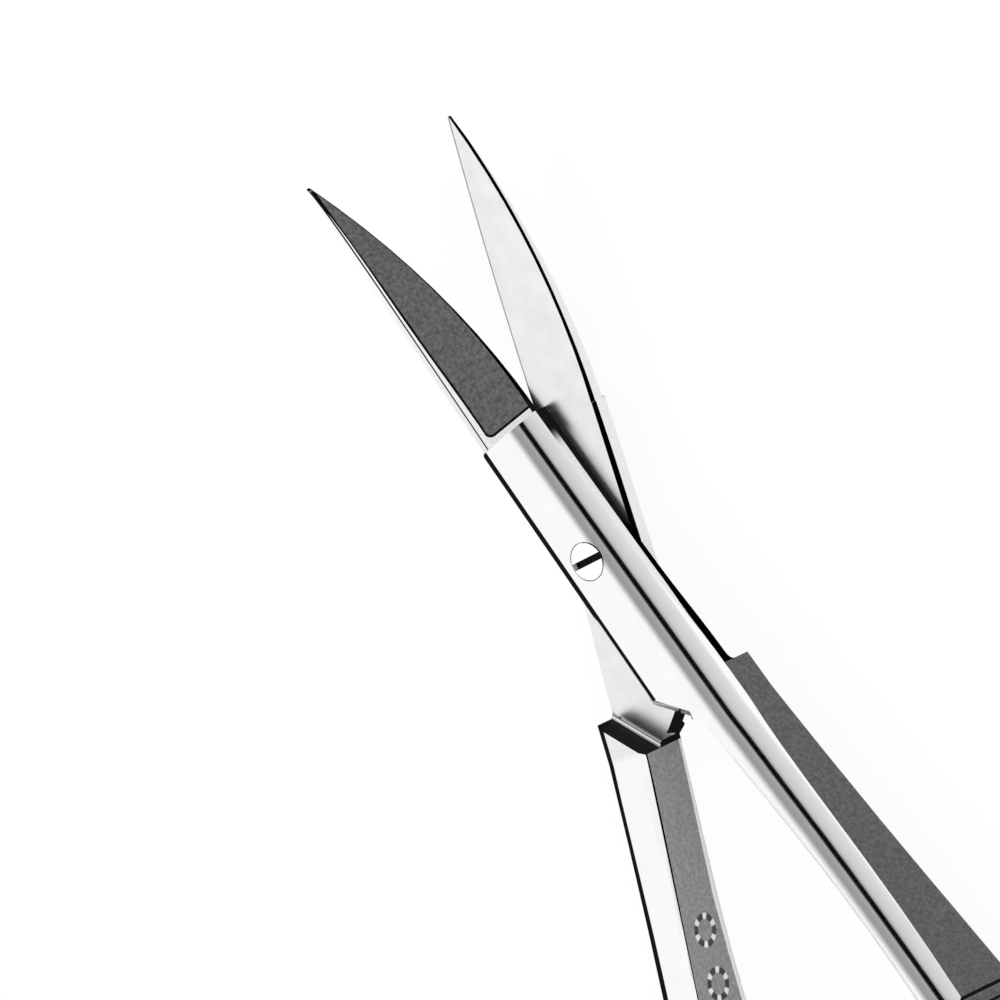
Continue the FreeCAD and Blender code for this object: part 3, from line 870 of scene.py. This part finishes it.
    def painted_blade_lines(self, face: ArmSurface) -> tuple[Socket, Socket, Socket]:
        """Mask the fine lines on the blade that are painted dark as reflection.

        Args:
            face: the arm's surface.

        Returns:
            The masks of the line round the blasted face's start, of the one along its crest and
            of the one on the bright land beside it.
        """
        wires, shape = face.wires, self.shape
        matte = self.blade_mask(face)
        start = face.all(
            matte, face.over(self.blade_start(face), shape.matte_corner - self.painted_fine_line))
        half = self.blade_half(face, shape.back_slope, shape.back_bow)
        part = wires.math("DIVIDE", self.behind_tip(face), shape.blade_length)
        land = wires.math("MULTIPLY", wires.math("SQRT", wires.math("MAXIMUM", part, 0.0)),
                          shape.land_base)
        crest = wires.math("SUBTRACT", land, half)
        along_crest = face.all(
            matte, face.under(face.across, wires.math("ADD", crest, self.painted_fine_line)))
        middle = wires.math("MULTIPLY_ADD", part, -self.painted_land_line, crest)
        off = wires.math("ABSOLUTE", wires.math("SUBTRACT", face.across, middle))
        on_land = face.all(face.over(face.along, shape.shoulder), face.looks(face.top, RIDGE_SIDE),
                           face.under(off, self.painted_fine_line / 2))
        return start, along_crest, on_land

    def ring_masks(self, face: ArmSurface) -> tuple[Socket, Socket]:
        """Mask the two small stamped rings on the handle's inner side.

        Args:
            face: the arm's surface.

        Returns:
            The masks of their beads painted dark as shade and of the ones between them painted
            bright as highlight.
        """
        wires = face.wires
        low, high = [], []
        for place in self.ring_places:
            away = wires.math("SUBTRACT", face.along, place)
            square = wires.math("MULTIPLY_ADD", away, away,
                                wires.math("MULTIPLY", face.up, face.up))
            off = wires.math("SUBTRACT", wires.math("SQRT", square), self.ring_radius)
            ring = face.under(wires.math("ABSOLUTE", off), self.ring_half_width, self.ring_soft)
            turn = wires.math("ARCTAN2", face.up, away)
            wave = wires.math("SINE", wires.math("MULTIPLY", turn, self.ring_beads))
            low.append(face.all(ring, face.under(wave, self.bead_low, self.bead_soft)))
            high.append(face.all(ring, face.over(wave, self.bead_high, self.bead_soft)))
        inner = face.looks_back(face.out, INSIDE)
        return face.all(face.any(*low), inner), face.all(face.any(*high), inner)

    def flank_normal(self, face: ArmSurface) -> Socket:
        """Work out the shading normal, smooth over the facets of the ridge's round flank.

        Args:
            face: the arm's surface.

        Returns:
            The normal: the flank's true curve there, the surface's own elsewhere.
        """
        wires, shape = face.wires, self.shape
        run = wires.math("SUBTRACT", face.across, shape.flank_start.at(wires, face.back))
        sine = wires.math("MAXIMUM", wires.math("DIVIDE", run, shape.flank_radius), 0.0)
        sine = wires.math("MINIMUM", sine, self.flank_steepest)
        square = wires.math("MULTIPLY", sine, sine)
        cosine = wires.math("SQRT", wires.math("SUBTRACT", 1.0, square))
        tilt = wires.math("ADD", wires.math("MULTIPLY", cosine, shape.depth.slope),
                          wires.math("MULTIPLY", sine, shape.flank_start.slope))
        tilt = wires.math("MULTIPLY", tilt, wires.ramp(face.back, 0.0, self.flank_turn_in))
        turned = wires.add("ShaderNodeVectorRotate", rotation_type="EULER_XYZ")
        wires.feed(wires.join(sine, tilt, cosine), turned.inputs["Vector"])
        turned.inputs["Rotation"].default_value = face.frame.turn
        world = wires.add("ShaderNodeVectorTransform", vector_type="NORMAL",
                          convert_from="OBJECT", convert_to="WORLD")
        wires.feed(turned.outputs[0], world.inputs[0])
        flank = face.all(face.looks(face.out, FLANK_OUT), face.looks(face.top, FLANK_TOP),
                         face.under(face.along, shape.shoulder - self.flank_end))
        geometry = wires.add("ShaderNodeNewGeometry")
        return wires.blend(flank, geometry.outputs["Normal"], world.outputs[0], vectors=True)

    def mix_finishes(self, face: ArmSurface, layers: list[tuple[Socket, Finish]]) -> None:
        """Mix the finishes by their masks and feed the shader.

        Args:
            face: the arm's surface.
            layers: each mask with the finish that it lets through, the last on top.
        """
        wires = face.wires
        lines = wires.group(self.effects.brushing, Vector=face.place,
                            Across=self.lines_across, Along=self.lines_along)
        blasting = wires.group(self.effects.blasting, Vector=face.place, Size=self.bead_size)
        wiped, wheeled = lines.outputs["Clouds"], lines.outputs["Lines"]
        tone = vary(wires, wiped, POLISHED.tone, POLISHED.tone_spread)
        roughness = vary(wires, wiped, POLISHED.roughness, POLISHED.roughness_spread)
        height = wires.math("MULTIPLY", wheeled, POLISHED.bump)
        metallic = POLISHED.metallic
        for mask, finish in layers:
            if finish is GROUND:
                pattern, grain = wiped, wheeled
            else:
                pattern, grain = blasting.outputs["Mottle"], blasting.outputs["Pits"]
            tone = wires.blend(
                mask, tone, vary(wires, pattern, finish.tone, finish.tone_spread))
            roughness = wires.blend(
                mask, roughness, vary(wires, pattern, finish.roughness, finish.roughness_spread))
            height = wires.blend(mask, height, wires.math("MULTIPLY", grain, finish.bump))
            metallic = wires.blend(mask, metallic, finish.metallic)
        finish_shader(wires, tone, roughness, height, metallic, self.flank_normal(face))


@dataclass(frozen=True)
class TurnedSteel:
    """The material of a small turned piece or a leaf: one finish, lines and brightened edges.

    What lies under slot_top, in millimetres, is painted shade, the dark of a screw's slot.
    """

    slot: Slot
    finish: Finish
    across: float = 6.0
    along: float = 6.0
    wear_start: float = 0.52
    edge_tone: float = 0.85
    slot_top: float = -9.0
    slot_fade: float = 0.03

    def build(self, effects: Effects) -> bpy.types.Material:
        """Build the material.

        Args:
            effects: the shared effects.

        Returns:
            The material.
        """
        material, wires = start_material(self.slot.value)
        finish = self.finish
        here = wires.add("ShaderNodeTexCoord")
        scaled = wires.add("ShaderNodeVectorMath", operation="SCALE")
        wires.feed(here.outputs["Object"], scaled.inputs[0])
        scaled.inputs["Scale"].default_value = 1 / MM
        place = scaled.outputs[0]
        lines = wires.group(effects.brushing, Vector=place, Across=self.across, Along=self.along)
        wiped, wheeled = lines.outputs["Clouds"], lines.outputs["Lines"]
        wear = wires.group(effects.edge_wear, Start=self.wear_start, Lines=wheeled)
        tone = vary(wires, wiped, finish.tone, finish.tone_spread)
        tone = wires.blend(wear.outputs["Mask"], tone, self.edge_tone)
        _, _, up = wires.split(place)
        # Painted shade: what lies below the slot's top is painted near-black as the slot's shade.
        painted_slot_shade = wires.ramp(up, self.slot_top, self.slot_top - self.slot_fade)
        tone = wires.blend(painted_slot_shade, tone, PAINTED_DARK_REFLECTION_AND_SHADE.tone)
        roughness = vary(wires, wiped, finish.roughness, finish.roughness_spread)
        height = wires.math("MULTIPLY", wheeled, finish.bump)
        finish_shader(wires, tone, roughness, height)
        return material


@dataclass
class Arms:
    """The two forged arms."""

    effects: Effects

    def build(self) -> list[str]:
        """Dress both arms.

        Returns:
            A line on each of them.
        """
        for side in Side:
            dress(frame["nodes"][f"{side.value}_arm"], ArmSteel(side, self.effects).build())
        return [f"{side.value} arm dressed" for side in Side]


@dataclass
class LeafSprings:
    """The two leaf springs, copied, sliced and dressed; they are not bent.

    The bend's two ends, in millimetres from the spring's hinge, are not used.
    """

    effects: Effects
    seat_end: float = 16.0
    tail_end: float = 24.0
    rest_bend: float = math.radians(40.168)
    slices: int = 90
    weld: float = 1e-7
    cut_tolerance: float = 1e-8

    def build(self) -> list[str]:
        """Build and dress both springs.

        Returns:
            A line on each of them.
        """
        material = TurnedSteel(Slot.SPRING, GROUND, across=7.0, along=0.6).build(self.effects)
        lines = []
        for side in Side:
            leaf = self.copy_leaf(side)
            dress(leaf, material)
            self.bend(leaf, side)
            lines.append(f"{side.value} leaf built with {len(leaf.data.polygons)} faces")
        return lines

    def copy_leaf(self, side: Side) -> bpy.types.Object:
        """Copy a leaf and cut it into slices.

        Args:
            side: which spring.

        Returns:
            The new piece, which stands for the solid.
        """
        node = frame["nodes"][f"{side.value}_spring"]
        mesh = node.data.copy()
        shape = bmesh.new()
        shape.from_mesh(mesh)
        bmesh.ops.remove_doubles(shape, verts=shape.verts, dist=self.weld)
        low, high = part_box(node.name)
        for cut in range(1, self.slices):
            back = low.y + (high.y - low.y) * cut / self.slices
            everything = shape.verts[:] + shape.edges[:] + shape.faces[:]
            bmesh.ops.bisect_plane(shape, geom=everything, dist=self.cut_tolerance,
                                   plane_co=(0, back, 0), plane_no=(0, 1, 0))
        shape.to_mesh(mesh)
        shape.free()
        leaf = bpy.data.objects.new(f"{side.value}_leaf", mesh)
        bpy.context.scene.collection.objects.link(leaf)
        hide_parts(node.name)
        return leaf

    def bend(self, leaf: bpy.types.Object, side: Side) -> None:
        """Bake a leaf's placement into its mesh; the leaf is not bent.

        Args:
            leaf: the leaf.
            side: which spring it is.
        """
        turn = ArmFrame.of(side).turn.to_matrix()
        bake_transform(leaf)


@dataclass
class Fasteners:
    """The joint screw, the rivets, the tail pin and the stop pin."""

    effects: Effects
    screw_slot_top: float = 4.79

    def build(self) -> list[str]:
        """Dress each of them.

        Returns:
            A line on each of them.
        """
        rivets = [f"{side.value}_{place}_rivet" for side in Side for place in ("front", "rear")]
        groups = (
            (TurnedSteel(Slot.SCREW, POLISHED, slot_top=self.screw_slot_top), ["joint_screw"]),
            (TurnedSteel(Slot.RIVET, GROUND), rivets),
            (TurnedSteel(Slot.PIN, POLISHED), ["tail_pin", "stop_pin"]),
        )
        lines = []
        for steel, names in groups:
            material = steel.build(self.effects)
            for name in names:
                dress(frame["nodes"][name], material)
                lines.append(f"{name} dressed")
        return lines


@dataclass(frozen=True)
class Band:
    """One stop of the dome's light: how bright it is at an angle from straight up towards +X."""

    angle: float
    level: float


@dataclass
class Studio:
    """The dome of light, the floor, the dark card and the camera.

    The drops, the frame's width and the target are in millimetres, floor_half is in metres.
    """

    strength: float = 1.25
    floor_half: float = 0.6
    floor_drop: float = 0.05
    card_drop: float = 0.02
    card_tone: float = 0.02
    floor_tone: float = 0.1
    floor_glow: float = 0.93
    floor_bounce: float = 0.75
    azimuth: float = 88.6
    elevation: float = 49.6
    roll: float = -115.0
    lens: float = 1500.0
    sensor: float = 36.0
    clip_near: float = 0.1
    clip_far: float = 4.0
    frame_width: float = 52.63
    target: tuple[float, float, float] = (-1.99, 48.82, 6.61)
    bands: tuple[Band, ...] = (
        Band(-180, 0.6), Band(-80, 0.8), Band(-60, 1.0), Band(-27, 0.95), Band(-15, 0.32),
        Band(-6, 0.34), Band(0, 0.42), Band(2, 0.30), Band(3, 0.0), Band(12.5, 0.0),
        Band(14, 0.42), Band(20, 0.60), Band(36, 0.70), Band(45, 0.76), Band(49, 1.0),
        Band(80, 0.95), Band(180, 0.6))

    def build(self) -> list[str]:
        """Build the studio and place the camera.

        Returns:
            A line on them.
        """
        self.light_dome()
        self.lay_floor()
        self.lay_card()
        self.place_camera()
        bpy.context.scene.view_settings.view_transform = "Standard"
        return ["studio and camera in place"]

    def light_dome(self) -> None:
        """Light everything from a soft dome with a dark strip, white behind for the camera."""
        world = bpy.data.worlds.new("dome")
        bpy.context.scene.world = world
        world.use_nodes = True
        wires = Wires(world.node_tree)
        way = wires.add("ShaderNodeTexCoord")
        across, _, up = wires.split(way.outputs["Generated"])
        angle = wires.math("ARCTAN2", across, up)
        share = wires.math("MULTIPLY_ADD", angle, 1 / math.tau, 0.5)
        ramp = wires.add("ShaderNodeValToRGB")
        wires.feed(share, ramp.inputs[0])
        stops = ramp.color_ramp.elements
        stops[0].position, stops[-1].position = 0.0, 1.0
        for band in self.bands[1:-1]:
            stops.new(band.angle / 360 + 0.5)
        for stop, band in zip(stops, self.bands):
            stop.color = (band.level, band.level, band.level, 1.0)
        dome = wires.add("ShaderNodeBackground")
        wires.feed(ramp.outputs["Color"], dome.inputs["Color"])
        dome.inputs["Strength"].default_value = self.strength
        white = wires.add("ShaderNodeBackground")
        white.inputs["Color"].default_value = (1.0, 1.0, 1.0, 1.0)
        ray = wires.add("ShaderNodeLightPath")
        mix = wires.add("ShaderNodeMixShader")
        wires.feed(ray.outputs["Is Camera Ray"], mix.inputs[0])
        wires.feed(dome.outputs[0], mix.inputs[1])
        wires.feed(white.outputs[0], mix.inputs[2])
        output = wires.add("ShaderNodeOutputWorld")
        wires.feed(mix.outputs[0], output.inputs["Surface"])

    def lay_plane(self, name: str, drop: float) -> bpy.types.Object:
        """Lay a square plane a little below the part and mark it as part of the studio.

        Args:
            name: the plane's name.
            drop: how far it lies below the part.

        Returns:
            The plane.
        """
        half = self.floor_half
        mesh = bpy.data.meshes.new(name)
        square = ((-1, -1), (1, -1), (1, 1), (-1, 1))
        corners = [(x * half, y * half, -drop * MM) for x, y in square]
        mesh.from_pydata(corners, [], [(0, 1, 2, 3)])
        plane = bpy.data.objects.new(name, mesh)
        bpy.context.scene.collection.objects.link(plane)
        return plane

    def lay_floor(self) -> None:
        """Lay the pale floor, which stays white to the camera but for the part's soft shadow."""
        floor = self.lay_plane("floor", self.floor_drop)
        material, wires = start_material("pale_floor")
        paint = wires.add("ShaderNodeBsdfDiffuse")
        paint.inputs["Color"].default_value = (self.floor_tone,) * 3 + (1.0,)
        glow = wires.add("ShaderNodeEmission")
        ray = wires.add("ShaderNodeLightPath")
        bounce = wires.math("MULTIPLY", ray.outputs["Is Diffuse Ray"], self.floor_bounce)
        seen = wires.math("MULTIPLY_ADD", ray.outputs["Is Camera Ray"], self.floor_glow, bounce)
        wires.feed(seen, glow.inputs["Strength"])
        both = wires.add("ShaderNodeAddShader")
        wires.feed(paint.outputs[0], both.inputs[0])
        wires.feed(glow.outputs[0], both.inputs[1])
        output = wires.add("ShaderNodeOutputMaterial")
        wires.feed(both.outputs[0], output.inputs["Surface"])
        dress(floor, material)

    def lay_card(self) -> None:
        """Lay the dark card that only the polished steel mirrors, which draws its edges."""
        card = self.lay_plane("dark_card", self.card_drop)
        material, wires = start_material("dark_card")
        paint = wires.add("ShaderNodeBsdfDiffuse")
        paint.inputs["Color"].default_value = (self.card_tone,) * 3 + (1.0,)
        output = wires.add("ShaderNodeOutputMaterial")
        wires.feed(paint.outputs[0], output.inputs["Surface"])
        dress(card, material)
        for kind in ("camera", "diffuse", "transmission", "volume_scatter", "shadow"):
            setattr(card, f"visible_{kind}", False)

    def place_camera(self) -> None:
        """Place a long lens at the photograph's angle."""
        turn = math.radians(self.azimuth)
        rise = math.radians(self.elevation)
        back = Vector((math.sin(turn) * math.cos(rise), -math.cos(turn) * math.cos(rise),
                       math.sin(rise)))
        level_right = Vector((math.cos(turn), math.sin(turn), 0))
        level_up = back.cross(level_right)
        spin = math.radians(self.roll)
        right = level_right * math.cos(spin) + level_up * math.sin(spin)
        rotation = Matrix((right, back.cross(right), back)).transposed()
        lens = bpy.data.cameras.new("camera")
        lens.lens = self.lens
        lens.sensor_width = self.sensor
        distance = self.frame_width * MM * self.lens / self.sensor
        lens.clip_start, lens.clip_end = distance * self.clip_near, distance * self.clip_far
        camera = bpy.data.objects.new("camera", lens)
        bpy.context.scene.collection.objects.link(camera)
        spot = Vector(self.target) * MM + back * distance
        camera.matrix_world = Matrix.Translation(spot) @ rotation.to_4x4()
        bpy.context.scene.camera = camera


def main() -> None:
    """Build the scene, part by part, and report each piece."""
    effects = Effects()
    for part in (Arms(effects), LeafSprings(effects), Fasteners(effects), Studio()):
        for line in part.build():
            log.info(line)


if __name__ == "__main__":
    main()
